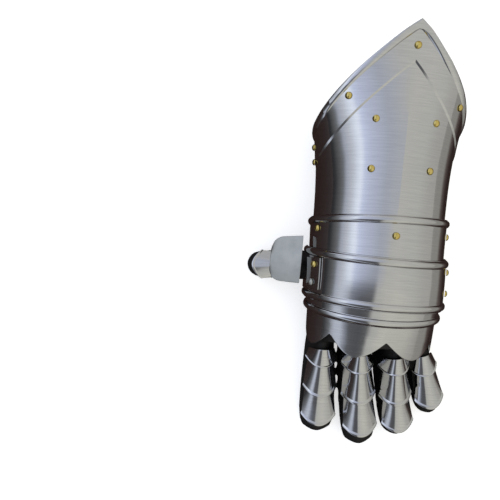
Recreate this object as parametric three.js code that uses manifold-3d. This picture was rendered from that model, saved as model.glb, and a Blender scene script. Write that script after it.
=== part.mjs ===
// Armoured gauntlet for the left hand, lying palm down with its fingers forward.
// Millimetres. +Z is up, away from the palm. +Y runs from the fingertips to the cuff's pointed
// tip. The thumb points to -X. The origin is under the middle of the whole, on its resting face.
//
// Every plate follows one form, the padded hand and forearm, at its own distance from it.
// A place on the form is given by y and by an angle in degrees round the arm: 0 on the medial
// ridge, negative towards the thumb, 90 at the widest place of each side, 180 under the palm.
import * as THREE from 'three';
import { mergeVertices } from 'three/addons/utils/BufferGeometryUtils.js';
import Module from 'manifold-3d';

const wasm = await Module();
wasm.setup();

// Driving dimensions
const STEEL = 1.2; // plate thickness
const LEATHER = 1.8; // glove wall
const GAP = 0.3; // clearance between pieces that touch
const LAYER = 2; // rise from one overlapping plate to the next
const RIDGE_LEAN = 11; // how far each side's arc centre lies past the ridge
const RIVET = { radius: 2.5, foot: 0.85, edge: 0.3, height: 1.7, sides: 7, steps: 2 };
const FORM_BASE = 1; // lowest height of the form under the palm

// The form under the lowest plates: half-section sizes along the hand and forearm
const FORM = [
  { y: -92, ridge: 4, left: 42, right: 50, top: 46, middle: 20 },
  { y: -72, ridge: 3, left: 45, right: 50, top: 59, middle: 25 },
  { y: -50, ridge: 2, left: 46.5, right: 49.5, top: 70, middle: 30 },
  { y: -25, ridge: 2, left: 47, right: 49, top: 77, middle: 34 },
  { y: 0, ridge: 2, left: 48.5, right: 47.5, top: 80.5, middle: 35 },
  { y: 28, ridge: 2, left: 49.5, right: 47.5, top: 82, middle: 36 },
  { y: 160, ridge: 3, left: 49.5, right: 48, top: 84, middle: 36 },
];

// Cuff: its rim runs back from a pointed tip to the lower side corners
const CUFF = { wrap: 107, lowerEdge: 13, flareLength: 62, chevronStep: 0.7 };
const RIM = [
  { angle: -107, y: 84, flare: 5 },
  { angle: -90, y: 86.5, flare: 5 },
  { angle: -75, y: 90, flare: 7 },
  { angle: -60, y: 99, flare: 8.5 },
  { angle: -45, y: 111.6, flare: 8.5 },
  { angle: -22, y: 131.5, flare: 8.5 },
  { angle: 0, y: 151.5, flare: 8.5 },
  { angle: 20, y: 133, flare: 8.5 },
  { angle: 40, y: 118.5, flare: 7.5 },
  { angle: 60, y: 107, flare: 6 },
  { angle: 75, y: 99.5, flare: 5.5 },
  { angle: 90, y: 93, flare: 5 },
  { angle: 107, y: 85, flare: 5 },
];
// Rows of the cuff back from its rim: folded rim, its crease, then the embossed chevron step
const CUFF_ROWS = [
  { back: 0, relief: 0.9 },
  { back: 0.8, relief: 1.9 },
  { back: 3.2, relief: 2.2 },
  { back: 5.4, relief: 1.8 },
  { back: 6.2, relief: CUFF.chevronStep },
  { back: 15, relief: CUFF.chevronStep },
  { back: 25.2, relief: CUFF.chevronStep },
  { back: 26.8, relief: 0 },
];
const CUFF_BODY_ROWS = 4; // from the chevron to the lower edge

const CUFF_INNER = { wrap: 84, fromY: 15, toY: 78, rimY: 99 };

// Bands over the wrist and hand. Their edges and beads sag towards the fingers at the ridge.
// layer: plates between this band and the form. bead: distance of the bead from its edge.
const BANDS = [
  { name: 'wrist_lame_1', layer: 1, wrapLeft: 108, wrapRight: 108, bead: 3.2, beadEdge: 'top',
    top: { y: 23.2, sag: 0, skew: 0.035 }, bottom: { y: -9, sag: 3, skew: 0 } },
  { name: 'wrist_lame_2', layer: 2, wrapLeft: 98, wrapRight: 108, bead: 3.2, beadEdge: 'both',
    top: { y: -2, sag: 4, skew: 0 }, bottom: { y: -40, sag: 3.6, skew: 0 } },
  { name: 'metacarpal_lame', layer: 1, wrapLeft: 104, wrapRight: 106, bead: 3, beadEdge: 'bottom',
    top: { y: -31, sag: 3, skew: 0 }, bottom: { y: -48.5, sag: 6.2, skew: 0 } },
];
const BEAD = { halfWidth: 2.8, height: 2 };

// Metacarpal plate: its lower edge is scalloped over the knuckles, from cusp to cusp
const METACARPAL = { layer: 0.2, topY: -38, topSag: 6 };
const SCALLOPS = [
  { angle: -100, y: -58, depth: 14 },
  { angle: -43, y: -64.5, depth: 15.2 },
  { angle: 6, y: -66, depth: 13.5 },
  { angle: 64, y: -66.5, depth: 10 },
  { angle: 104, y: -62, depth: 0 },
];

// Finger stalls of the glove, from the knuckle end to the tip, and the scales on each
const FINGERS = [
  { name: 'index', root: { x: -32.5, y: -76, top: 38, width: 24 },
    tip: { x: -28, y: -148.5, top: 19.5, width: 31 }, scaleEnds: [-93.5, -118, -141] },
  { name: 'middle', root: { x: -7, y: -76, top: 52, width: 24.5 },
    tip: { x: 7.5, y: -155.5, top: 20, width: 30 }, scaleEnds: [-93.5, -119.5, -146] },
  { name: 'ring', root: { x: 20.5, y: -76, top: 49.5, width: 24.5 },
    tip: { x: 36.5, y: -145, top: 20, width: 27 }, scaleEnds: [-92.5, -118, -140.5] },
  { name: 'little', root: { x: 44.5, y: -75, top: 31, width: 20 },
    tip: { x: 61.5, y: -125.5, top: 18, width: 24.5 }, scaleEnds: [-94, -120] },
];
// middle: height of the widest part. drop: how quickly the back falls from the knuckle.
// widening: how soon the full width is reached. tipHalf, tipRise: size left at the very tip.
const STALL = { middle: 8, rootLift: 4, depth: 1.5, roundEnd: 13, drop: 1.6, pinch: 0.32,
  widening: 1.5, tipHalf: 0.25, tipRise: 0.35, innerEnd: 0.965, sides: 12 };
const SCALE = { wrap: 55, clearance: 0.7, lift: 2.3, overlap: 6, bulge: 8, lip: 0.6 };

// Thumb: a stall lying out to the side, a flat plate hinged on the wrist and one tip scale
const THUMB = { root: { x: -47, y: -17, top: 29, width: 25 },
  tip: { x: -95.5, y: -20.5, top: 18, width: 24 }, scaleEnd: -92.5, scaleStart: -68 };
const THUMB_HOLE = { from: -0.35, to: 0.3 }; // in the hand, as parts of the thumb stall's length
const THUMB_PLATE = { thickness: STEEL, inner: -55.4, outer: -78.5, back: 5, front: -31,
  taper: 2.6, corner: 9, cornerFrom: 0.6, frontCorner: 0.8, innerHeight: 37.5, outerHeight: 28.5,
  crown: 2 };
const HINGE_PLATE = { fromY: -33.5, toY: -10.5, topAngle: -57, bottomAngle: -95 };

// Rivets: y and angle on the form, and the plate that each stands on
const RIVETS = [
  { name: 'rivet_cuff_tip', y: 135.3, angle: 0, on: 'cuff' },
  { name: 'rivet_cuff_rim_left', y: 102.5, angle: -42.4, on: 'cuff' },
  { name: 'rivet_cuff_rim_right', y: 103, angle: 50, on: 'cuff' },
  { name: 'rivet_cuff_upper_left', y: 87.3, angle: -22, on: 'cuff' },
  { name: 'rivet_cuff_upper_right', y: 88.1, angle: 26, on: 'cuff' },
  { name: 'rivet_cuff_lower_left', y: 53.4, angle: -22, on: 'cuff' },
  { name: 'rivet_cuff_lower_right', y: 55.5, angle: 26, on: 'cuff' },
  { name: 'rivet_cuff_side_1', y: 72, angle: -91, on: 'cuff' },
  { name: 'rivet_cuff_side_2', y: 61, angle: -91, on: 'cuff' },
  { name: 'rivet_cuff_side_3', y: 72, angle: 96, on: 'cuff' },
  { name: 'rivet_cuff_side_4', y: 61, angle: 96, on: 'cuff' },
  { name: 'rivet_lame_1_centre', y: 9, angle: 0, on: 'wrist_lame_1' },
  { name: 'rivet_lame_1_left', y: 11, angle: -68, on: 'wrist_lame_1' },
  { name: 'rivet_lame_1_right', y: 13.2, angle: 74, on: 'wrist_lame_1' },
  { name: 'rivet_lame_2_upper_right', y: -12.4, angle: 74, on: 'wrist_lame_2' },
  { name: 'rivet_lame_2_lower_right', y: -28, angle: 74, on: 'wrist_lame_2' },
  { name: 'rivet_hinge_upper', y: -15.3, angle: -64.6, on: 'thumb_hinge_plate' },
  { name: 'rivet_hinge_lower', y: -28.3, angle: -67.3, on: 'thumb_hinge_plate' },
];

const DULL_RIVET = 'rivet_hinge_lower';

const steel = new THREE.MeshStandardMaterial({ color: 0xb9bac0, roughness: 0.25, metalness: 1 });
const dullSteel = new THREE.MeshStandardMaterial({ color: 0x8d8d8b, roughness: 0.4, metalness: 1 });
const brass = new THREE.MeshStandardMaterial({ color: 0xd9c77a, roughness: 0.25, metalness: 1 });
const leather = new THREE.MeshStandardMaterial({ color: 0x161515, roughness: 0.6, metalness: 0 });

const gauntlet = new THREE.Group();

function addPiece(name, geometry, material) {
  const mesh = new THREE.Mesh(geometry, material);
  mesh.name = name;
  gauntlet.add(mesh);
}

// Smooth value of one column of a table at a place between its rows
function sample(table, key, at, column) {
  const last = table.length - 1;
  const place = THREE.MathUtils.clamp(at, table[0][key], table[last][key]);
  let row = 0;
  while (row < last - 1 && place > table[row + 1][key]) row += 1;
  const before = table[Math.max(row - 1, 0)];
  const start = table[row];
  const end = table[row + 1];
  const after = table[Math.min(row + 2, last)];
  const span = end[key] - start[key];
  const part = (place - start[key]) / span;
  const slopeIn = ((end[column] - before[column]) / (end[key] - before[key])) * span;
  const slopeOut = ((after[column] - start[column]) / (after[key] - start[key])) * span;
  const square = part * part;
  const cube = square * part;
  return (2 * cube - 3 * square + 1) * start[column] + (cube - 2 * square + part) * slopeIn
    + (3 * square - 2 * cube) * end[column] + (cube - square) * slopeOut;
}

// Straight-line value of one column, for edges that have corners
function sampleStraight(table, key, at, column) {
  let row = 0;
  while (row < table.length - 2 && at > table[row + 1][key]) row += 1;
  const start = table[row];
  const end = table[row + 1];
  return THREE.MathUtils.mapLinear(at, start[key], end[key], start[column], end[column]);
}

// Section of the form at y: a pointed arch over the back, an ellipse under the palm
function formSection(y, angle) {
  const ridge = sample(FORM, 'y', y, 'ridge');
  const top = sample(FORM, 'y', y, 'top');
  const middle = sample(FORM, 'y', y, 'middle');
  const side = angle < 0 ? -1 : 1;
  const reach = sample(FORM, 'y', y, angle < 0 ? 'left' : 'right') - side * ridge;
  const turned = Math.abs(angle);
  if (turned > 90) {
    const lower = THREE.MathUtils.degToRad(turned);
    return new THREE.Vector3(ridge + side * reach * Math.sin(lower), y,
      middle + (middle - FORM_BASE) * Math.cos(lower));
  }
  const start = Math.asin(RIDGE_LEAN / (reach + RIDGE_LEAN));
  const turn = THREE.MathUtils.lerp(start, Math.PI / 2, turned / 90);
  return new THREE.Vector3(ridge + side * ((reach + RIDGE_LEAN) * Math.sin(turn) - RIDGE_LEAN), y,
    middle + ((top - middle) / Math.cos(start)) * Math.cos(turn));
}

// Outward direction of the form across its section
function formNormal(y, angle) {
  if (angle === 0) return new THREE.Vector3(0, 0, 1);
  const step = 0.5;
  const along = formSection(y, angle + step).sub(formSection(y, angle - step));
  return new THREE.Vector3(-along.z, 0, along.x).normalize();
}

function onForm(y, angle, offset) {
  return formSection(y, angle).addScaledVector(formNormal(y, angle), offset);
}

// Turns a mesh right side out, so that its volume is positive
function faceOutwards(positions, triangles) {
  let volume = 0;
  const corner = (vertex) => new THREE.Vector3().fromArray(positions, vertex * 3);
  for (let i = 0; i < triangles.length; i += 3) {
    const [a, b, c] = [0, 1, 2].map((k) => corner(triangles[i + k]));
    volume += a.dot(b.cross(c));
  }
  if (volume < 0) triangles.reverse();
  const geometry = new THREE.BufferGeometry();
  geometry.setAttribute('position', new THREE.Float32BufferAttribute(positions, 3));
  geometry.setIndex(triangles);
  geometry.computeVertexNormals();
  return geometry;
}

// A plate from two faces over one grid: face(row, column, 'outer' or 'inner') is a point
function plate(rows, columns, face) {
  const positions = [];
  for (const side of ['outer', 'inner']) {
    for (let row = 0; row <= rows; row += 1) {
      for (let column = 0; column <= columns; column += 1) {
        positions.push(...face(row, column, side).toArray());
      }
    }
  }
  const across = columns + 1;
  const layer = (rows + 1) * across;
  const at = (side, row, column) => side * layer + row * across + column;
  const triangles = [];
  const quad = (a, b, c, d) => triangles.push(a, b, c, a, c, d);
  for (let row = 0; row < rows; row += 1) {
    for (let column = 0; column < columns; column += 1) {
      quad(at(0, row, column), at(0, row + 1, column),
        at(0, row + 1, column + 1), at(0, row, column + 1));
      quad(at(1, row, column), at(1, row, column + 1),
        at(1, row + 1, column + 1), at(1, row + 1, column));
    }
    quad(at(0, row, 0), at(1, row, 0), at(1, row + 1, 0), at(0, row + 1, 0));
    quad(at(0, row, columns), at(0, row + 1, columns),
      at(1, row + 1, columns), at(1, row, columns));
  }
  for (let column = 0; column < columns; column += 1) {
    quad(at(0, 0, column), at(0, 0, column + 1), at(1, 0, column + 1), at(1, 0, column));
    quad(at(0, rows, column), at(1, rows, column),
      at(1, rows, column + 1), at(0, rows, column + 1));
  }
  return faceOutwards(positions, triangles);
}

// A closed solid through rings of points, capped at both ends
function loft(rings) {
  const sides = rings[0].length;
  const positions = rings.flatMap((ring) => ring.flatMap((point) => point.toArray()));
  const triangles = [];
  for (let ring = 0; ring < rings.length - 1; ring += 1) {
    for (let side = 0; side < sides; side += 1) {
      const next = (side + 1) % sides;
      const a = ring * sides + side;
      const b = ring * sides + next;
      triangles.push(a, b, b + sides, a, b + sides, a + sides);
    }
  }
  for (const ring of [0, rings.length - 1]) {
    const middle = new THREE.Vector3();
    rings[ring].forEach((point) => middle.addScaledVector(point, 1 / sides));
    positions.push(...middle.toArray());
    const centre = positions.length / 3 - 1;
    for (let side = 0; side < sides; side += 1) {
      const a = ring * sides + side;
      const b = ring * sides + ((side + 1) % sides);
      if (ring === 0) triangles.push(a, centre, b);
      else triangles.push(a, b, centre);
    }
  }
  return faceOutwards(positions, triangles);
}

function toManifold(geometry) {
  const bare = geometry.clone();
  bare.deleteAttribute('normal');
  bare.deleteAttribute('uv');
  const merged = mergeVertices(bare, 1e-4);
  return new wasm.Manifold(new wasm.Mesh({
    numProp: 3,
    vertProperties: new Float32Array(merged.attributes.position.array),
    triVerts: new Uint32Array(merged.index.array),
  }));
}

function fromManifold(solid) {
  const mesh = solid.getMesh();
  const geometry = new THREE.BufferGeometry();
  geometry.setAttribute('position', new THREE.BufferAttribute(mesh.vertProperties, 3));
  geometry.setIndex(new THREE.BufferAttribute(mesh.triVerts, 1));
  geometry.computeVertexNormals();
  return geometry;
}

// All below a height, to trim soft pieces flat where they rest
function groundUpTo(height) {
  const far = 400;
  const block = new THREE.BoxGeometry(far, far, far);
  return toManifold(block.translate(0, 0, height - far / 2));
}

// How far the cuff stands off the form, growing towards its rim
function cuffFlare(y, rimY, flare) {
  const near = Math.max(0, 1 - (rimY - y) / CUFF.flareLength);
  return flare * near * near;
}

function onCuff(y, angle, lift) {
  const rimY = sampleStraight(RIM, 'angle', angle, 'y');
  return onForm(y, angle, cuffFlare(y, rimY, sampleStraight(RIM, 'angle', angle, 'flare')) + lift);
}

function cuffRelief(back) {
  if (back >= CUFF_ROWS[CUFF_ROWS.length - 1].back) return 0;
  return sampleStraight(CUFF_ROWS, 'back', back, 'relief');
}

function addCuff() {
  const columns = 34;
  const rows = CUFF_ROWS.length - 1 + CUFF_BODY_ROWS;
  const chevron = CUFF_ROWS[CUFF_ROWS.length - 1].back;
  addPiece('cuff', plate(rows, columns, (row, column, side) => {
    const angle = THREE.MathUtils.lerp(-CUFF.wrap, CUFF.wrap, column / columns);
    const rimY = sampleStraight(RIM, 'angle', angle, 'y');
    const bodyRow = Math.max(0, row - CUFF_ROWS.length + 1) / CUFF_BODY_ROWS;
    const back = CUFF_ROWS[Math.min(row, CUFF_ROWS.length - 1)].back;
    const y = THREE.MathUtils.lerp(rimY - back, CUFF.lowerEdge, bodyRow);
    if (side === 'inner') return onCuff(y, angle, (back < chevron ? CUFF.chevronStep : 0) - STEEL);
    return onCuff(y, angle, bodyRow > 0 ? 0 : CUFF_ROWS[row].relief);
  }), steel);
}

// Plain plate that closes the cuff under the wrist, inside the cuff's lower sides
function addCuffInnerPlate() {
  const { wrap, fromY, toY, rimY } = CUFF_INNER;
  const columns = 14;
  const rows = 4;
  addPiece('cuff_inner_plate', plate(rows, columns, (row, column, side) => {
    const angle = 180 + THREE.MathUtils.lerp(-wrap, wrap, column / columns);
    const y = THREE.MathUtils.lerp(fromY, toY, row / rows);
    const depth = STEEL + 2 * GAP + (side === 'inner' ? STEEL : 0);
    const lift = cuffFlare(y, rimY, RIM[0].flare) - depth;
    const point = onForm(y, angle > 180 ? angle - 360 : angle, lift);
    point.z = Math.max(point.z, side === 'inner' ? STEEL : 0);
    return point;
  }), dullSteel);
}

function edgeY(edge, angle) {
  return edge.y - edge.sag * Math.cos(THREE.MathUtils.degToRad(angle)) + edge.skew * angle;
}

// Rows across a bead, as parts of its half width, from one side to the other
const BEAD_ROWS = [-1, -0.65, 0, 0.65, 1];

function addBand(band) {
  const columns = 24;
  const atTop = band.beadEdge !== 'bottom';
  const atBottom = band.beadEdge !== 'top';
  const beadRelief = (part) => BEAD.height * Math.sqrt(1 - part * part);
  const rows = [{ from: 'top', off: 0, relief: 0 }];
  if (atTop) {
    BEAD_ROWS.forEach((part) => rows.push(
      { from: 'top', off: band.bead + part * BEAD.halfWidth, relief: beadRelief(part) }));
  }
  rows.push({ from: 'both', off: 0, relief: 0 });
  if (atBottom) {
    BEAD_ROWS.forEach((part) => rows.push(
      { from: 'bottom', off: band.bead - part * BEAD.halfWidth, relief: beadRelief(part) }));
  }
  rows.push({ from: 'bottom', off: 0, relief: 0 });
  addPiece(band.name, plate(rows.length - 1, columns, (row, column, side) => {
    const angle = THREE.MathUtils.lerp(-band.wrapLeft, band.wrapRight, column / columns);
    const top = edgeY(band.top, angle);
    const bottom = edgeY(band.bottom, angle);
    const line = rows[row];
    const y = { top: top - line.off, bottom: bottom + line.off, both: (top + bottom) / 2 }[line.from];
    const lift = side === 'inner' ? -STEEL : line.relief;
    return onForm(y, angle, band.layer * LAYER + lift);
  }), steel);
}

function scallopY(angle) {
  let cusp = 0;
  while (cusp < SCALLOPS.length - 2 && angle > SCALLOPS[cusp + 1].angle) cusp += 1;
  const start = SCALLOPS[cusp];
  const part = (angle - start.angle) / (SCALLOPS[cusp + 1].angle - start.angle);
  const straight = THREE.MathUtils.lerp(start.y, SCALLOPS[cusp + 1].y, part);
  return straight - start.depth * Math.sin(Math.PI * part);
}

function addMetacarpalPlate() {
  const perScallop = 8;
  const columns = perScallop * (SCALLOPS.length - 1);
  const rows = 4;
  addPiece('metacarpal_plate', plate(rows, columns, (row, column, side) => {
    const cusp = Math.min(Math.floor(column / perScallop), SCALLOPS.length - 2);
    const part = column / perScallop - cusp;
    const angle = THREE.MathUtils.lerp(SCALLOPS[cusp].angle, SCALLOPS[cusp + 1].angle, part);
    const start = METACARPAL.topY - METACARPAL.topSag * Math.cos(THREE.MathUtils.degToRad(angle));
    const y = THREE.MathUtils.lerp(start, scallopY(angle), row / rows);
    return onForm(y, angle, METACARPAL.layer * LAYER - (side === 'inner' ? STEEL : 0));
  }), steel);
}

// A glove stall runs from root to tip. A place on it: part along it, angle round it, offset out.
function stallPoint(stall, part, angle, offset) {
  const { root, tip } = stall;
  const length = Math.hypot(tip.x - root.x, tip.y - root.y);
  const fade = (1 - Math.max(part, 0)) ** STALL.drop;
  const endPart = Math.max(0, part - (1 - STALL.roundEnd / length)) / (STALL.roundEnd / length);
  const shrink = Math.sqrt(Math.max(0, 1 - Math.min(endPart, 1) ** 2));
  const turn = THREE.MathUtils.degToRad(angle);
  const top = tip.top + (root.top - tip.top) * fade;
  const middle = STALL.middle + STALL.rootLift * fade;
  const widening = THREE.MathUtils.clamp(part * STALL.widening, 0, 1);
  const half = THREE.MathUtils.lerp(root.width, tip.width, widening) / 2;
  const rise = Math.cos(turn) > 0 ? top - middle : middle + STALL.depth;
  const pinch = 1 - STALL.pinch * Math.max(0, Math.cos(turn));
  const endHalf = half * THREE.MathUtils.lerp(STALL.tipHalf, 1, shrink);
  const endRise = rise * THREE.MathUtils.lerp(STALL.tipRise, 1, shrink);
  const across = endHalf * Math.sin(turn) * pinch;
  const up = middle + endRise * Math.cos(turn);
  const out = new THREE.Vector2(Math.sin(turn) / endHalf, Math.cos(turn) / endRise).normalize();
  const forward = new THREE.Vector2(tip.x - root.x, tip.y - root.y).divideScalar(length);
  const sideways = across + offset * out.x;
  return new THREE.Vector3(
    root.x + forward.x * length * part - forward.y * sideways,
    root.y + forward.y * length * part + forward.x * sideways,
    up + offset * out.y,
  );
}

// How far along a stall its sections stand, closer together towards the tip
const STALL_SECTIONS = [0, 0.2, 0.5, 0.82, 0.94, 1];
const OPEN_ROOT = -0.03; // the inside reaches this far past the root

// Solid inside of a stall, or its outside, between two parts of its length
function stallLoft(stall, offset, first, last) {
  return toManifold(loft(STALL_SECTIONS.map((part) => {
    const along = THREE.MathUtils.lerp(first, last, part);
    return Array.from({ length: STALL.sides }, (_, side) => (
      stallPoint(stall, along, (side * 360) / STALL.sides, offset)));
  })));
}

// Hollow leather stall, open at its root and flat underneath
function addStall(name, stall) {
  const outer = stallLoft(stall, 0, 0, 1).subtract(groundUpTo(0));
  const inner = stallLoft(stall, -LEATHER, OPEN_ROOT, STALL.innerEnd).subtract(groundUpTo(LEATHER));
  addPiece(name, fromManifold(outer.subtract(inner)), leather);
}

// Half-round steel scale over a stall. Its free end is raised over the next scale.
function addScale(name, stall, start, end) {
  const columns = 8;
  const lines = [
    { part: 0, relief: 0 },
    { part: 0.45, relief: 0 },
    { part: 0.9, relief: 0 },
    { part: 0.95, relief: SCALE.lip },
    { part: 1, relief: SCALE.lip },
  ];
  const length = Math.hypot(stall.tip.x - stall.root.x, stall.tip.y - stall.root.y);
  const bulge = SCALE.bulge / length;
  addPiece(name, plate(lines.length - 1, columns, (row, column, side) => {
    const across = THREE.MathUtils.lerp(-1, 1, column / columns);
    const line = lines[row];
    const part = THREE.MathUtils.lerp(start, end - bulge * across * across, line.part);
    const lift = SCALE.clearance + SCALE.lift * line.part;
    const thickness = side === 'inner' ? 0 : STEEL + line.relief;
    return stallPoint(stall, part, SCALE.wrap * across, lift + thickness);
  }), steel);
}

function addFinger(finger) {
  const span = finger.root.y - finger.tip.y;
  const partAt = (y) => (finger.root.y - y) / span;
  addStall(`glove_${finger.name}`, finger);
  finger.scaleEnds.forEach((endY, i) => {
    const previous = i === 0 ? finger.root.y - 3 : finger.scaleEnds[i - 1] + SCALE.overlap;
    addScale(`${finger.name}_scale_${i + 1}`, finger, partAt(previous), partAt(endY));
  });
}

function addThumb() {
  addStall('glove_thumb', THUMB);
  const partAt = (x) => (x - THUMB.root.x) / (THUMB.tip.x - THUMB.root.x);
  addScale('thumb_scale', THUMB, partAt(THUMB.scaleStart), partAt(THUMB.scaleEnd));
  const { thickness, inner, outer, back, front, taper, corner, cornerFrom } = THUMB_PLATE;
  const columns = 10;
  const rows = 8;
  addPiece('thumb_plate', plate(rows, columns, (row, column, side) => {
    const out = column / columns;
    const x = THREE.MathUtils.lerp(inner, outer, out);
    const turned = Math.max(0, (out - cornerFrom) / (1 - cornerFrom));
    const round = corner * (1 - Math.sqrt(1 - turned ** 2));
    const along = THREE.MathUtils.lerp(back - taper * out - round,
      front + THUMB_PLATE.frontCorner * round, row / rows);
    const height = THREE.MathUtils.lerp(THUMB_PLATE.innerHeight, THUMB_PLATE.outerHeight, out);
    const crown = THUMB_PLATE.crown * Math.sin(Math.PI * (row / rows));
    return new THREE.Vector3(x, along, height + crown - (side === 'inner' ? thickness : 0));
  }), dullSteel);
}

function addThumbHingePlate() {
  const { fromY, toY, topAngle, bottomAngle } = HINGE_PLATE;
  const columns = 4;
  const rows = 5;
  addPiece('thumb_hinge_plate', plate(rows, columns, (row, column, side) => {
    const angle = THREE.MathUtils.lerp(bottomAngle, topAngle, column / columns);
    const y = THREE.MathUtils.lerp(toY, fromY, row / rows);
    return onForm(y, angle, 2 * LAYER + GAP + (side === 'outer' ? STEEL : 0));
  }), steel);
}

// The hand of the glove, open at the cuff mouth and towards the finger stalls. low: where the
// palm side would reach before it is cut flat. flare: how far the lower sides open outwards.
const HAND = [
  { y: -72, inset: 4, low: -5, flare: 0 },
  { y: -50, inset: 3.5, low: -6, flare: 0 },
  { y: -20, inset: 3.5, low: -6, flare: 0 },
  { y: 0, inset: 4.5, low: -4, flare: 0 },
  { y: 13, inset: 5, low: 6, flare: 0 },
  { y: 60, inset: 5, low: 6, flare: 0 },
  { y: 80, inset: 4.5, low: 5, flare: 4 },
  { y: 94, inset: 3.5, low: 1.5, flare: 12 },
  { y: 104, inset: 3.5, low: 1.5, flare: 14 },
];
const HAND_FLARE_TOP = 30; // the flare fades out above this height

function handPoint(station, angle, offset) {
  const point = onForm(station.y, angle, offset - station.inset);
  const middle = sample(FORM, 'y', station.y, 'middle');
  if (point.z < middle) {
    const stretch = (middle - station.low) / (middle - FORM_BASE - station.inset);
    point.z = middle - (middle - point.z) * stretch;
  }
  const lower = THREE.MathUtils.clamp((HAND_FLARE_TOP - point.z) / HAND_FLARE_TOP, 0, 1);
  point.x += Math.sign(point.x) * station.flare * Math.sin(lower * Math.PI / 2);
  return point;
}

function handRings(offset, stretch) {
  const sides = 22;
  return HAND.map((station, i) => {
    const slide = stretch * (i === 0 ? -1 : Math.floor(i / (HAND.length - 1)));
    return Array.from({ length: sides }, (_, side) => {
      const point = handPoint(station, 180 - (side * 360) / sides, offset);
      point.y += slide;
      return point;
    });
  });
}

function addGloveHand() {
  const outer = toManifold(loft(handRings(0, 0))).subtract(groundUpTo(0));
  const inner = toManifold(loft(handRings(-LEATHER, 2))).subtract(groundUpTo(LEATHER));
  const thumbHole = stallLoft(THUMB, -LEATHER, THUMB_HOLE.from, THUMB_HOLE.to).subtract(groundUpTo(LEATHER));
  addPiece('glove_hand', fromManifold(outer.subtract(inner).subtract(thumbHole)), leather);
}

function rivetOffset(rivet) {
  if (rivet.on === 'thumb_hinge_plate') return 2 * LAYER + GAP + STEEL;
  const band = BANDS.find((item) => item.name === rivet.on);
  return band.layer * LAYER;
}

// Domed rivet head, standing on its plate along the plate's outward direction
function addRivet(rivet) {
  const { radius, height, edge } = RIVET;
  const points = [new THREE.Vector2(0, 0), new THREE.Vector2(radius * RIVET.foot, 0)];
  for (let step = 0; step < RIVET.steps; step += 1) {
    const rise = (step / RIVET.steps) * (Math.PI / 2);
    points.push(new THREE.Vector2(radius * Math.cos(rise), edge + (height - edge) * Math.sin(rise)));
  }
  points.push(new THREE.Vector2(0, height));
  const head = new THREE.LatheGeometry(points, RIVET.sides);
  const rimY = sampleStraight(RIM, 'angle', rivet.angle, 'y');
  const lift = rivet.on === 'cuff' ? cuffRelief(rimY - rivet.y) : rivetOffset(rivet);
  const place = (y, angle, rise) => (
    rivet.on === 'cuff' ? onCuff(y, angle, rise) : onForm(y, angle, rise));
  const step = 1;
  const foot = place(rivet.y, rivet.angle, lift);
  const along = place(rivet.y + step, rivet.angle, lift).sub(place(rivet.y - step, rivet.angle, lift));
  const around = place(rivet.y, rivet.angle + step, lift)
    .sub(place(rivet.y, rivet.angle - step, lift));
  const out = around.cross(along).normalize();
  if (out.dot(formNormal(rivet.y, rivet.angle)) < 0) out.negate();
  const turn = new THREE.Quaternion().setFromUnitVectors(new THREE.Vector3(0, 1, 0), out);
  head.applyQuaternion(turn);
  foot.addScaledVector(out, GAP);
  head.translate(foot.x, foot.y, foot.z);
  addPiece(rivet.name, head, rivet.name === DULL_RIVET ? dullSteel : brass);
}

addCuff();
addCuffInnerPlate();
BANDS.forEach(addBand);
addMetacarpalPlate();
addThumbHingePlate();
addGloveHand();
FINGERS.forEach(addFinger);
addThumb();
RIVETS.forEach(addRivet);

const bounds = new THREE.Box3().setFromObject(gauntlet);
const centre = bounds.getCenter(new THREE.Vector3());
gauntlet.position.set(-centre.x, -centre.y, -bounds.min.z);

export default gauntlet;
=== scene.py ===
"""An armoured gauntlet for the left hand: plate steel over a sewn black leather glove.

The frame gives the solids. Each operator below dresses one group of them.
"""

import math

import bmesh
import bpy
from bpy.props import FloatProperty, IntProperty, PointerProperty
from mathutils import Matrix, Vector


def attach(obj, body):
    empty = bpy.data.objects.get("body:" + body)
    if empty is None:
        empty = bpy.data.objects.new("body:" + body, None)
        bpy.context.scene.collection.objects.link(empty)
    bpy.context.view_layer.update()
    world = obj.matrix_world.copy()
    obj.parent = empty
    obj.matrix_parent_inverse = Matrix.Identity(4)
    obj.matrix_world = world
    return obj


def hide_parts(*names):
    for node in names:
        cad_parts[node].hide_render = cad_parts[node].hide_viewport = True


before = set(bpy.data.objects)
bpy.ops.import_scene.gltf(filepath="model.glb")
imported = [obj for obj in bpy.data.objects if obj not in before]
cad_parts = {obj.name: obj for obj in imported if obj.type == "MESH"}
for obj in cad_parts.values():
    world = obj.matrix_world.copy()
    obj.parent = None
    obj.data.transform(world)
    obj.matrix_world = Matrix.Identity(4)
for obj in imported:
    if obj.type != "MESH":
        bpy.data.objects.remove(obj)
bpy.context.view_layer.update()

bl_info = {
    "name": "Armoured gauntlet",
    "version": (1, 0, 0),
    "blender": (4, 5, 0),
    "location": "3D View > Sidebar > Gauntlet",
    "description": "Dresses the gauntlet's frame in polished steel, brass and leather",
    "category": "Object",
}

MM = 0.001

# Where the glowing sheet of painted reflection fades from brown to grey, across the arm
PAINTED_REFLECTION_FADE = (0.13, 0.24)

# Edges whose faces fold more than this are sharp
SHARP = math.radians(35)
ARRIS = math.radians(60)  # and these get a rounded arris
CORNER_MERGE = 0.02 * MM  # frame solids' corners closer than this are one
INNER_FOLDS = [(12, 170)]  # degrees: folds that stay crisp in the plates
RIDGE_FOLDS = [(17, 30)]  # degrees: the medial ridge of the cuff

# A rivet's head: a flattened ball cut off at its foot and sunk onto the plate
RIVET_BALL = 2.6 * MM
RIVET_CUT = 0.4 * MM
RIVET_FLAT = 0.8
RIVET_SINK = 0.6 * MM

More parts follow.
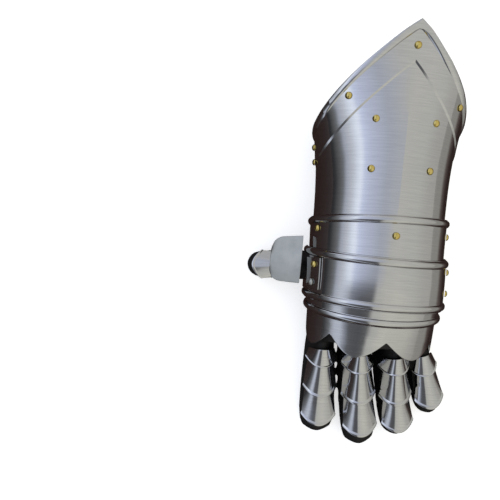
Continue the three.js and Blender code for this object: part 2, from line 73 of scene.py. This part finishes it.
# How the glove's skin is made from the frame's hand and finger stalls
TILTED_END = 6 * MM  # a stall's end faces lie within this of its end
HAND_RIM = 0.5 * MM  # and the hand's within this
STALL_REACH = 11 * MM  # each of two steps that a stall runs on into the hand
STALL_TAPER = 0.9  # narrowing at each step

# Plates of the hand and arm, from the cuff to the knuckles
ARM_PLATES = ["cuff", "wrist_lame_1", "wrist_lame_2", "metacarpal_lame", "metacarpal_plate"]
FINGERS = {"index": 3, "middle": 3, "ring": 3, "little": 2}
STALLS = ["glove_index", "glove_middle", "glove_ring", "glove_little", "glove_thumb"]


# ---------------------------------------------------------------- colours and nodes


def colour(code):
    """Linear colour of an sRGB hex value such as "c8c8cc"."""
    parts = [int(code[i : i + 2], 16) / 255 for i in (0, 2, 4)]
    linear = [p / 12.92 if p <= 0.04045 else ((p + 0.055) / 1.055) ** 2.4 for p in parts]
    return (*linear, 1.0)


def node(tree, kind, settings=None, values=None, links=None):
    """Adds a node with its settings, its socket values and its links from other sockets."""
    made = tree.nodes.new(kind)
    for key, value in (settings or {}).items():
        setattr(made, key, value)
    for key, value in (values or {}).items():
        made.inputs[key].default_value = value
    for key, source in (links or {}).items():
        tree.links.new(source, made.inputs[key])
    return made


def ramp(tree, source, stops):
    """A colour ramp with stops of (position, hex colour)."""
    made = node(tree, "ShaderNodeValToRGB", links={"Fac": source})
    while len(made.color_ramp.elements) < len(stops):
        made.color_ramp.elements.new(0.5)
    for element, (place, code) in zip(made.color_ramp.elements, stops):
        element.position = place
        element.color = colour(code)
    return made.outputs["Color"]


def new_material(name, values):
    """A material with its surface shader, which the caller links patterns into."""
    material = bpy.data.materials.new(name)
    material.use_nodes = True
    tree = material.node_tree
    shader = tree.nodes["Principled BSDF"]
    for key, value in values.items():
        shader.inputs[key].default_value = value
    return material, tree, shader


def polished_steel():
    """Mild steel sheet, buffed along the bands: a soft mirror with a fine grain and small dents."""
    material, tree, shader = new_material(
        "polished_mild_steel", {"Metallic": 1.0, "Roughness": 0.1}
    )
    place = node(tree, "ShaderNodeTexCoord").outputs["Object"]
    # buffing lines run round the arm: 0.25 mm apart really, drawn 0.9 mm apart so that they show
    grain_place = node(
        tree, "ShaderNodeMapping", values={"Scale": (60, 1100, 60)}, links={"Vector": place}
    ).outputs["Vector"]
    grain = node(
        tree,
        "ShaderNodeTexNoise",
        values={"Scale": 1.0, "Detail": 3.0, "Roughness": 0.6},
        links={"Vector": grain_place},
    ).outputs["Fac"]
    # planishing marks, about 25 mm wide and hardly deep
    dents = node(
        tree,
        "ShaderNodeTexNoise",
        values={"Scale": 40.0, "Detail": 1.0, "Roughness": 0.4},
        links={"Vector": place},
    ).outputs["Fac"]
    tint = ramp(tree, grain, [(0.3, "c4c4c6"), (0.7, "cfcfd0")])
    tree.links.new(tint, shader.inputs["Base Color"])
    rough = node(
        tree,
        "ShaderNodeMapRange",
        values={"From Min": 0.3, "From Max": 0.7, "To Min": 0.08, "To Max": 0.11},
        links={"Value": grain},
    ).outputs["Result"]
    tree.links.new(rough, shader.inputs["Roughness"])
    soft = node(
        tree,
        "ShaderNodeBump",
        values={"Strength": 0.25, "Distance": 0.0008},
        links={"Height": dents},
    ).outputs["Normal"]
    fine = node(
        tree,
        "ShaderNodeBump",
        values={"Strength": 0.05, "Distance": 0.00005},
        links={"Height": grain, "Normal": soft},
    ).outputs["Normal"]
    tree.links.new(fine, shader.inputs["Normal"])
    return material


def satin_steel():
    """The same sheet left as it was ground: matt, pale and even."""
    material, tree, shader = new_material(
        "ground_mild_steel", {"Metallic": 1.0, "Roughness": 0.5}
    )
    place = node(tree, "ShaderNodeTexCoord").outputs["Object"]
    cloud = node(
        tree,
        "ShaderNodeTexNoise",
        values={"Scale": 90.0, "Detail": 6.0, "Roughness": 0.65},
        links={"Vector": place},
    ).outputs["Fac"]
    tint = ramp(tree, cloud, [(0.3, "b4b6b2"), (0.7, "c9cac5")])
    tree.links.new(tint, shader.inputs["Base Color"])
    bump = node(
        tree,
        "ShaderNodeBump",
        values={"Strength": 0.15, "Distance": 0.0001},
        links={"Height": cloud},
    ).outputs["Normal"]
    tree.links.new(bump, shader.inputs["Normal"])
    return material


def polished_brass():
    """Turned brass rivet heads, rubbed bright on top."""
    material, tree, shader = new_material(
        "polished_brass", {"Metallic": 1.0, "Roughness": 0.22}
    )
    place = node(tree, "ShaderNodeTexCoord").outputs["Object"]
    cloud = node(
        tree,
        "ShaderNodeTexNoise",
        values={"Scale": 700.0, "Detail": 3.0},
        links={"Vector": place},
    ).outputs["Fac"]
    tint = ramp(tree, cloud, [(0.3, "cdb25e"), (0.7, "e6d489")])
    tree.links.new(tint, shader.inputs["Base Color"])
    return material


def glove_leather():
    """Black chrome-tanned cowhide: almost matt, with a pebbled grain about 1.2 mm across."""
    material, tree, shader = new_material(
        "black_cowhide", {"Metallic": 0.0, "Roughness": 0.6, "IOR": 1.45}
    )
    place = node(tree, "ShaderNodeTexCoord").outputs["Object"]
    cells = node(
        tree,
        "ShaderNodeTexVoronoi",
        {"feature": "DISTANCE_TO_EDGE"},
        values={"Scale": 800.0, "Randomness": 1.0},
        links={"Vector": place},
    ).outputs["Distance"]
    cloud = node(
        tree,
        "ShaderNodeTexNoise",
        values={"Scale": 120.0, "Detail": 5.0, "Roughness": 0.6},
        links={"Vector": place},
    ).outputs["Fac"]
    tint = ramp(tree, cloud, [(0.3, "0b0a0a"), (0.7, "171514")])
    tree.links.new(tint, shader.inputs["Base Color"])
    grain = node(
        tree,
        "ShaderNodeBump",
        values={"Strength": 0.35, "Distance": 0.0004},
        links={"Height": cells},
    ).outputs["Normal"]
    tree.links.new(grain, shader.inputs["Normal"])
    return material


def floor_finish():
    """Matt white paper, lit from below so that its shadows stay faint."""
    material, tree, shader = new_material("matt_white_paper", {"Roughness": 0.9})
    shader.inputs["Base Color"].default_value = colour("ffffff")
    shader.inputs["Emission Color"].default_value = colour("ffffff")
    shader.inputs["Emission Strength"].default_value = 0.6
    return material


def painted_reflection_finish():
    """Painted reflection: a glowing sheet that only the steel mirrors, dark brown near the arm and
    fading to warm grey on the far side.
    """
    material, tree, shader = new_material(
        "dark_brown_card", {"Roughness": 1.0, "Emission Strength": 1.0}
    )
    shader.inputs["Base Color"].default_value = colour("000000")
    place = node(tree, "ShaderNodeTexCoord").outputs["Object"]
    across = node(tree, "ShaderNodeSeparateXYZ", links={"Vector": place}).outputs["X"]
    share = node(
        tree,
        "ShaderNodeMapRange",
        values={"From Min": PAINTED_REFLECTION_FADE[0], "From Max": PAINTED_REFLECTION_FADE[1]},
        links={"Value": across},
    ).outputs["Result"]
    # painted reflection colours, from dark brown near the arm to warm grey further out
    tint = ramp(tree, share, [(0.0, "2c1c18"), (0.5, "5e524d"), (1.0, "9c9a93")])
    tree.links.new(tint, shader.inputs["Emission Color"])
    return material


# ---------------------------------------------------------------- modelling helpers


def only(*pieces):
    """Selects these pieces alone, with the first one active."""
    if bpy.context.object and bpy.context.object.mode != "OBJECT":
        bpy.ops.object.mode_set(mode="OBJECT")
    bpy.ops.object.select_all(action="DESELECT")
    for piece in pieces:
        piece.select_set(True)
    bpy.context.view_layer.objects.active = pieces[0]


def edit(piece, kind="EDGE"):
    """Opens a piece in edit mode with nothing selected."""
    only(piece)
    bpy.ops.object.mode_set(mode="EDIT")
    bpy.ops.mesh.select_mode(type=kind)
    bpy.ops.mesh.select_all(action="DESELECT")


def done():
    bpy.ops.object.mode_set(mode="OBJECT")


def pick(piece, kind, test):
    """In edit mode, selects the vertices, edges or faces that pass a test."""
    mesh = bmesh.from_edit_mesh(piece.data)
    found = 0
    for item in getattr(mesh, kind):
        if test(item):
            item.select_set(True)
            found += 1
    mesh.select_flush_mode()
    bmesh.update_edit_mesh(piece.data)
    return found


def modify(piece, kind, **settings):
    """Adds a modifier to a piece and applies it."""
    only(piece)
    modifier = piece.modifiers.new(kind.title(), kind)
    for key, value in settings.items():
        setattr(modifier, key, value)
    bpy.ops.object.modifier_apply(modifier=modifier.name)


def copy_of_node(name, new_name):
    """A copy of a frame solid as a piece of its own, its loose triangles merged to quads."""
    piece = bpy.data.objects.new(new_name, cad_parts[name].data.copy())
    bpy.context.scene.collection.objects.link(piece)
    edit(piece)
    bpy.ops.mesh.select_all(action="SELECT")
    bpy.ops.mesh.remove_doubles(threshold=CORNER_MERGE)
    bpy.ops.mesh.tris_convert_to_quads(face_threshold=ARRIS, shape_threshold=ARRIS)
    done()
    return piece


def crease(piece, concave, convex):
    """Creases the edges whose fold lies in one of the ranges of degrees given for each way."""
    mesh = bmesh.new()
    mesh.from_mesh(piece.data)
    layer = mesh.edges.layers.float.get("crease_edge") or mesh.edges.layers.float.new(
        "crease_edge"
    )
    for edge in mesh.edges:
        if len(edge.link_faces) != 2:
            continue
        fold = math.degrees(edge.calc_face_angle_signed(0))
        ranges = convex if fold > 0 else concave
        if any(low < abs(fold) < high for low, high in ranges):
            edge[layer] = 1.0
            edge.smooth = False
    mesh.to_mesh(piece.data)
    mesh.free()


def smooth(piece):
    only(piece)
    bpy.ops.object.shade_smooth_by_angle(angle=SHARP)


def finish_piece(piece, slot, material, *nodes):
    """Gives a piece its material and body, and lets it stand for its frame solids."""
    piece.data.materials.clear()
    piece.data.materials.append(material)
    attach(piece, "root")
    if nodes:
        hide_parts(*nodes)


def rounded_plate(piece, edge_round, levels):
    """Rounds a plate's arrises and smooths its curve."""
    modify(
        piece,
        "BEVEL",
        width=edge_round,
        segments=2,
        limit_method="ANGLE",
        angle_limit=ARRIS,
    )
    modify(piece, "SUBSURF", levels=levels, render_levels=levels)
    smooth(piece)


# ---------------------------------------------------------------- settings


class GauntletSteel(bpy.types.PropertyGroup):
    """Sizes of the plates' finish."""

    edge_round: FloatProperty(
        name="Edge round",
        description="Width of the rounded arris along each plate's edge",
        default=0.3 * MM,
        min=0.0,
        unit="LENGTH",
    )
    refinement: IntProperty(
        name="Refinement",
        description="How many times each plate is subdivided",
        default=2,
        min=1,
        max=3,
    )


class GauntletGlove(bpy.types.PropertyGroup):
    """Sizes of the leather glove."""

    wall: FloatProperty(
        name="Leather",
        description="Thickness of the leather",
        default=1.6 * MM,
        min=0.0,
        unit="LENGTH",
    )
    skin: FloatProperty(
        name="Skin detail",
        description="Size of the smallest fold that the glove's skin can hold",
        default=1.5 * MM,
        min=0.0,
        unit="LENGTH",
    )


class GauntletStage(bpy.types.PropertyGroup):
    """The table and light."""

    floor_size: FloatProperty(
        name="Table size",
        description="Width of the white table",
        default=6.0,
        unit="LENGTH",
    )
    camera_height: FloatProperty(
        name="Camera height",
        description="Height of the camera above the table",
        default=0.45,
        unit="LENGTH",
    )
    room_light: FloatProperty(
        name="Room light",
        description="Strength of the soft light all round",
        default=1.45,
        min=0.0,
    )


# ---------------------------------------------------------------- pieces


class GAUNTLET_OT_arm_plates(bpy.types.Operator):
    """Cuff, wrist bands and hand plates in polished steel"""

    bl_idname = "gauntlet.arm_plates"
    bl_label = "Arm plates"

    def execute(self, context):
        settings = context.scene.gauntlet_steel
        steel = polished_steel()
        for name in ARM_PLATES:
            ending = "_steel" if "plate" in name else "_plate"
            piece = copy_of_node(name, name + ending)
            crease(piece, INNER_FOLDS, RIDGE_FOLDS if name == "cuff" else [])
            rounded_plate(piece, settings.edge_round, settings.refinement)
            finish_piece(piece, "polished_steel", steel, name)
        return {"FINISHED"}


class GAUNTLET_OT_scales(bpy.types.Operator):
    """Half-round scales over the fingers and the thumb's tip, and the thumb's hinge"""

    bl_idname = "gauntlet.scales"
    bl_label = "Finger scales"

    def execute(self, context):
        settings = context.scene.gauntlet_steel
        steel = bpy.data.materials["polished_mild_steel"]
        names = [f"{f}_scale_{i + 1}" for f, count in FINGERS.items() for i in range(count)]
        for name in names + ["thumb_scale", "thumb_hinge_plate"]:
            piece = copy_of_node(name, name + "_steel")
            crease(piece, INNER_FOLDS, [])
            rounded_plate(piece, settings.edge_round, settings.refinement + 1)
            finish_piece(piece, "polished_steel", steel, name)
        return {"FINISHED"}


class GAUNTLET_OT_dull_plates(bpy.types.Operator):
    """The ground thumb plate and the plate that closes the cuff underneath"""

    bl_idname = "gauntlet.dull_plates"
    bl_label = "Dull plates"

    def execute(self, context):
        settings = context.scene.gauntlet_steel
        steel = satin_steel()
        for name in ["thumb_plate", "cuff_inner_plate"]:
            piece = copy_of_node(name, name + "_steel")
            rounded_plate(piece, settings.edge_round, settings.refinement)
            finish_piece(piece, "dull_steel", steel, name)
        return {"FINISHED"}


def rivet_seat(name):
    """Middle of a rivet solid's flat foot and its direction out of the plate."""
    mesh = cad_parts[name].data
    groups = {}
    for face in mesh.polygons:
        key = tuple(round(part, 2) for part in face.normal)
        groups.setdefault(key, []).append(face)
    foot = max(groups.values(), key=lambda faces: sum(face.area for face in faces))
    total = sum(face.area for face in foot)
    middle = sum((face.center * face.area for face in foot), Vector()) / total
    return middle, -foot[0].normal


class GAUNTLET_OT_rivets(bpy.types.Operator):
    """Domed rivet heads: brass, and one of steel on the thumb's hinge"""

    bl_idname = "gauntlet.rivets"
    bl_label = "Rivets"

    def execute(self, context):
        brass = polished_brass()
        steel = bpy.data.materials["ground_mild_steel"]
        bpy.ops.object.select_all(action="DESELECT")
        bpy.ops.mesh.primitive_uv_sphere_add(segments=24, ring_count=12, radius=RIVET_BALL)
        master = bpy.context.object
        edit(master, "VERT")
        bpy.ops.mesh.select_all(action="SELECT")
        bpy.ops.mesh.bisect(
            plane_co=(0, 0, RIVET_CUT), plane_no=(0, 0, 1), clear_inner=True, use_fill=True
        )
        bpy.ops.mesh.select_all(action="SELECT")
        bpy.ops.transform.resize(value=(1, 1, RIVET_FLAT))
        bpy.ops.transform.translate(value=(0, 0, -RIVET_SINK))
        done()
        for name in sorted(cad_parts):
            if not name.startswith("rivet"):
                continue
            middle, out = rivet_seat(name)
            piece = master.copy()
            piece.data = master.data.copy()
            piece.name = name + "_head"
            bpy.context.scene.collection.objects.link(piece)
            turn = Vector((0, 0, 1)).rotation_difference(out).to_matrix().to_4x4()
            piece.data.transform(Matrix.Translation(middle) @ turn)
            smooth(piece)
            dull = name == "rivet_hinge_lower"
            finish_piece(
                piece, "dull_steel" if dull else "rivet_brass", steel if dull else brass, name
            )
        bpy.data.objects.remove(master)
        return {"FINISHED"}


def outer_skin(name):
    """The outside of a hollow frame solid, closed over where it was open."""
    piece = copy_of_node(name, name + "_skin")
    # the ends of the wall face along the piece: towards the wrist, and for the hand forward too
    end = Vector((1, 0, 0)) if name == "glove_thumb" else Vector((0, 1, 0))
    root = max(v.co.dot(end) for v in piece.data.vertices)
    front = min(v.co.y for v in piece.data.vertices)
    hand = name == "glove_hand"
    # the hand's own middle line, which its inner faces look towards
    places = [v.co for v in piece.data.vertices]
    low, high = (Vector(end_of(p[k] for p in places) for k in range(3)) for end_of in (min, max))
    axis = (low + high) / 2
    edit(piece, "FACE")

    def is_unwanted(face):
        middle = face.calc_center_median()
        if not hand:
            return face.normal.dot(end) > 0.9 and root - middle.dot(end) < TILTED_END
        if abs(face.normal.y) > 0.9 and min(root - middle.y, middle.y - front) < HAND_RIM:
            return True
        outwards = Vector((middle.x - axis.x, 0, middle.z - axis.z))
        return face.normal.dot(outwards) < 0

    pick(piece, "faces", is_unwanted)
    bpy.ops.mesh.delete(type="FACE")
    done()
    keep_widest(piece)
    edit(piece, "EDGE")
    piece["covers"] = len(piece.data.polygons)
    bpy.ops.mesh.select_all(action="SELECT")
    bpy.ops.mesh.fill_holes(sides=0)
    bpy.ops.mesh.select_all(action="SELECT")
    bpy.ops.mesh.normals_make_consistent(inside=False)
    done()
    return piece


def keep_widest(piece):
    """Keeps only the connected shell of a piece that reaches farthest."""
    mesh = bmesh.new()
    mesh.from_mesh(piece.data)
    islands, seen = [], set()
    for start in mesh.verts:
        if start in seen:
            continue
        island, queue = set(), [start]
        while queue:
            vertex = queue.pop()
            if vertex in island:
                continue
            island.add(vertex)
            queue.extend(e.other_vert(vertex) for e in vertex.link_edges)
        seen |= island
        islands.append(island)

    def width(island):
        return sum(max(v.co[k] for v in island) - min(v.co[k] for v in island) for k in range(3))

    keep = max(islands, key=width)
    bmesh.ops.delete(mesh, geom=[v for v in mesh.verts if v not in keep], context="VERTS")
    mesh.to_mesh(piece.data)
    mesh.free()


class GAUNTLET_OT_glove(bpy.types.Operator):
    """One sewn leather glove in place of the frame's hand and finger stalls"""

    bl_idname = "gauntlet.glove"
    bl_label = "Glove"

    def execute(self, context):
        settings = context.scene.gauntlet_glove
        hand = outer_skin("glove_hand")
        mouth = max(v.co.y for v in hand.data.vertices) - settings.skin
        parts = [hand]
        for name in STALLS:
            stall = outer_skin(name)
            thumb = name == "glove_thumb"
            edit(stall, "FACE")
            pick(stall, "faces", lambda face: face.index >= stall["covers"])
            move = (STALL_REACH, 0, 0) if thumb else (0, STALL_REACH, 0)
            for _ in range(2):
                bpy.ops.mesh.extrude_region_move(TRANSFORM_OT_translate={"value": move})
                bpy.ops.transform.resize(value=(STALL_TAPER,) * 3)
            done()
            modify(stall, "SUBSURF", levels=2, render_levels=2)
            parts.append(stall)
        only(*parts)
        bpy.ops.object.join()
        glove = bpy.context.object
        glove.name = "glove"
        modify(glove, "REMESH", mode="VOXEL", voxel_size=settings.skin)
        edit(glove, "FACE")
        bpy.ops.mesh.select_all(action="SELECT")
        bpy.ops.mesh.bisect(plane_co=(0, mouth, 0), plane_no=(0, 1, 0), clear_outer=True)
        done()
        keep_widest(glove)
        modify(glove, "SMOOTH", factor=0.5, iterations=4)
        modify(glove, "SOLIDIFY", thickness=settings.wall, offset=-1.0)
        smooth(glove)
        finish_piece(glove, "glove_leather", glove_leather(), "glove_hand", *STALLS)
        return {"FINISHED"}


# ---------------------------------------------------------------- stage

# What the steel mirrors, by the angle from overhead: -90 is the horizon on the thumb's side.
# A cool window stands at the thumb's side, a warm wall at the other, dark below both.
ROOM = [
    (-180, "1f1411"),
    (-140, "100a08"),
    (-118, "050505"),
    (-104, "101011"),
    (-94, "202022"),
    (-86, "343537"),
    (-76, "5c5e5f"),
    (-71, "707377"),
    (-66, "a2a8b4"),
    (-58, "bcc1c9"),
    (-50, "dce4f2"),
    (-46, "e6eefb"),
    (-41, "c5cfe6"),
    (-34, "bac1d6"),
    (-24, "b0b6c6"),
    (-15, "a6abb6"),
    (-5, "adb0b4"),
    (5, "b4b4b0"),
    (30, "b8b7b1"),
    (60, "b2b2ac"),
    (78, "a6a59f"),
    (93, "a3a19b"),
    (102, "8f8884"),
    (110, "6e625d"),
    (119, "4f3e3a"),
    (130, "3a2722"),
    (180, "2c1c18"),
]
# The same towards the fingers, where a dark screen stands before the window
ROOM_FRONT = [
    (-180, "2a2523"),
    (-110, "201c1c"),
    (-88, "3a3a3c"),
    (-76, "6f7377"),
    (-66, "b4bac6"),
    (-57, "b8bfcb"),
    (-51, "8c919c"),
    (-44, "585a5e"),
    (-28, "505154"),
    (-17, "5a5b5c"),
    (-10, "aeaeaa"),
    (10, "b9b8b0"),
    (40, "bebdb4"),
    (75, "b4b3aa"),
    (90, "9c9a93"),
    (105, "857f79"),
    (120, "6a625c"),
    (180, "332622"),
]
# And towards the cuff's tip
ROOM_BACK = [
    (-180, "3a3634"),
    (-105, "4a4a4a"),
    (-92, "a0a2a8"),
    (-78, "c8cfde"),
    (-50, "c6ccdc"),
    (-24, "a8a9ac"),
    (0, "aaaaa6"),
    (30, "b4b3ad"),
    (90, "b0aea8"),
    (112, "aaa8a2"),
    (140, "7a7673"),
    (180, "3a3634"),
]


def room_ramp(tree, turn, stops):
    places = [((angle + 180) / 360, code) for angle, code in stops]
    return ramp(tree, turn, places)


def room_world(settings):
    """Soft surroundings: the ramps above, faded into each other along the arm."""
    world = bpy.data.worlds.new("room")
    world.use_nodes = True
    tree = world.node_tree
    direction = node(tree, "ShaderNodeTexCoord").outputs["Generated"]
    parts = node(tree, "ShaderNodeSeparateXYZ", links={"Vector": direction})
    turn = node(
        tree,
        "ShaderNodeMath",
        {"operation": "ARCTAN2"},
        links={0: parts.outputs["X"], 1: parts.outputs["Z"]},
    ).outputs["Value"]
    turn = node(
        tree,
        "ShaderNodeMapRange",
        values={"From Min": -math.pi, "From Max": math.pi},
        links={"Value": turn},
    ).outputs["Result"]
    sides = room_ramp(tree, turn, ROOM)
    for stops, start, end in ((ROOM_FRONT, -0.28, -0.5), (ROOM_BACK, 0.45, 0.75)):
        share = node(
            tree,
            "ShaderNodeMapRange",
            {"interpolation_type": "SMOOTHSTEP"},
            {"From Min": start, "From Max": end},
            {"Value": parts.outputs["Y"]},
        ).outputs["Result"]
        sides = node(
            tree,
            "ShaderNodeMix",
            {"data_type": "RGBA"},
            links={"Factor": share, 6: sides, 7: room_ramp(tree, turn, stops)},
        ).outputs[2]
    room = tree.nodes["Background"]
    tree.links.new(sides, room.inputs["Color"])
    room.inputs["Strength"].default_value = settings.room_light
    plain = node(tree, "ShaderNodeBackground", values={"Color": colour("f4f4f2"), "Strength": 1.0})
    seen = node(tree, "ShaderNodeLightPath").outputs["Is Camera Ray"]
    mixed = node(
        tree,
        "ShaderNodeMixShader",
        links={"Fac": seen, 1: room.outputs["Background"], 2: plain.outputs["Background"]},
    )
    tree.links.new(mixed.outputs["Shader"], tree.nodes["World Output"].inputs["Surface"])
    return world


def stage_plane(name, size, height, material):
    bpy.ops.object.select_all(action="DESELECT")
    bpy.ops.mesh.primitive_plane_add(size=size, location=(0, 0, height))
    plane = bpy.context.object
    plane.name = name
    plane.data.materials.append(material)
    return plane


class GAUNTLET_OT_stage(bpy.types.Operator):
    """White table, soft window light and the camera above"""

    bl_idname = "gauntlet.stage"
    bl_label = "Stage"

    def execute(self, context):
        settings = context.scene.gauntlet_stage
        stage_plane("table", settings.floor_size, -0.6 * MM, floor_finish())
        # a glowing sheet just above the table that only the steel's reflections see: a painted
        # brown reflection
        painted_reflection_plane = stage_plane("reflector_card", settings.floor_size, -0.3 * MM, painted_reflection_finish())
        painted_reflection_plane.visible_camera = False
        painted_reflection_plane.visible_diffuse = False
        painted_reflection_plane.visible_shadow = False
        painted_reflection_plane.visible_transmission = False
        context.scene.world = room_world(settings)
        context.scene.view_settings.view_transform = "Standard"
        data = bpy.data.cameras.new("camera")
        camera = bpy.data.objects.new("camera", data)
        context.scene.collection.objects.link(camera)
        data.sensor_fit = "HORIZONTAL"
        data.angle = 2 * math.atan(0.205 / settings.camera_height)
        camera.location = (-0.0815, -0.0073, settings.camera_height)
        camera.rotation_euler = (0, 0, math.radians(5.5))
        context.scene.camera = camera
        return {"FINISHED"}


class GAUNTLET_PT_panel(bpy.types.Panel):
    """Lists the gauntlet's pieces in the sidebar"""

    bl_idname = "GAUNTLET_PT_panel"
    bl_label = "Gauntlet"
    bl_space_type = "VIEW_3D"
    bl_region_type = "UI"
    bl_category = "Gauntlet"

    def draw(self, context):
        for step in STEPS:
            self.layout.operator(step)


STEPS = [
    "gauntlet.arm_plates",
    "gauntlet.scales",
    "gauntlet.dull_plates",
    "gauntlet.rivets",
    "gauntlet.glove",
    "gauntlet.stage",
]

CLASSES = [
    GauntletSteel,
    GauntletGlove,
    GauntletStage,
    GAUNTLET_OT_arm_plates,
    GAUNTLET_OT_scales,
    GAUNTLET_OT_dull_plates,
    GAUNTLET_OT_rivets,
    GAUNTLET_OT_glove,
    GAUNTLET_OT_stage,
    GAUNTLET_PT_panel,
]


def register():
    for item in CLASSES:
        bpy.utils.register_class(item)
    bpy.types.Scene.gauntlet_steel = PointerProperty(type=GauntletSteel)
    bpy.types.Scene.gauntlet_glove = PointerProperty(type=GauntletGlove)
    bpy.types.Scene.gauntlet_stage = PointerProperty(type=GauntletStage)


def unregister():
    del bpy.types.Scene.gauntlet_stage
    del bpy.types.Scene.gauntlet_glove
    del bpy.types.Scene.gauntlet_steel
    for item in reversed(CLASSES):
        bpy.utils.unregister_class(item)


def main():
    register()
    for step in STEPS:
        group, name = step.split(".")
        getattr(getattr(bpy.ops, group), name)()


if __name__ == "__main__":
    main()
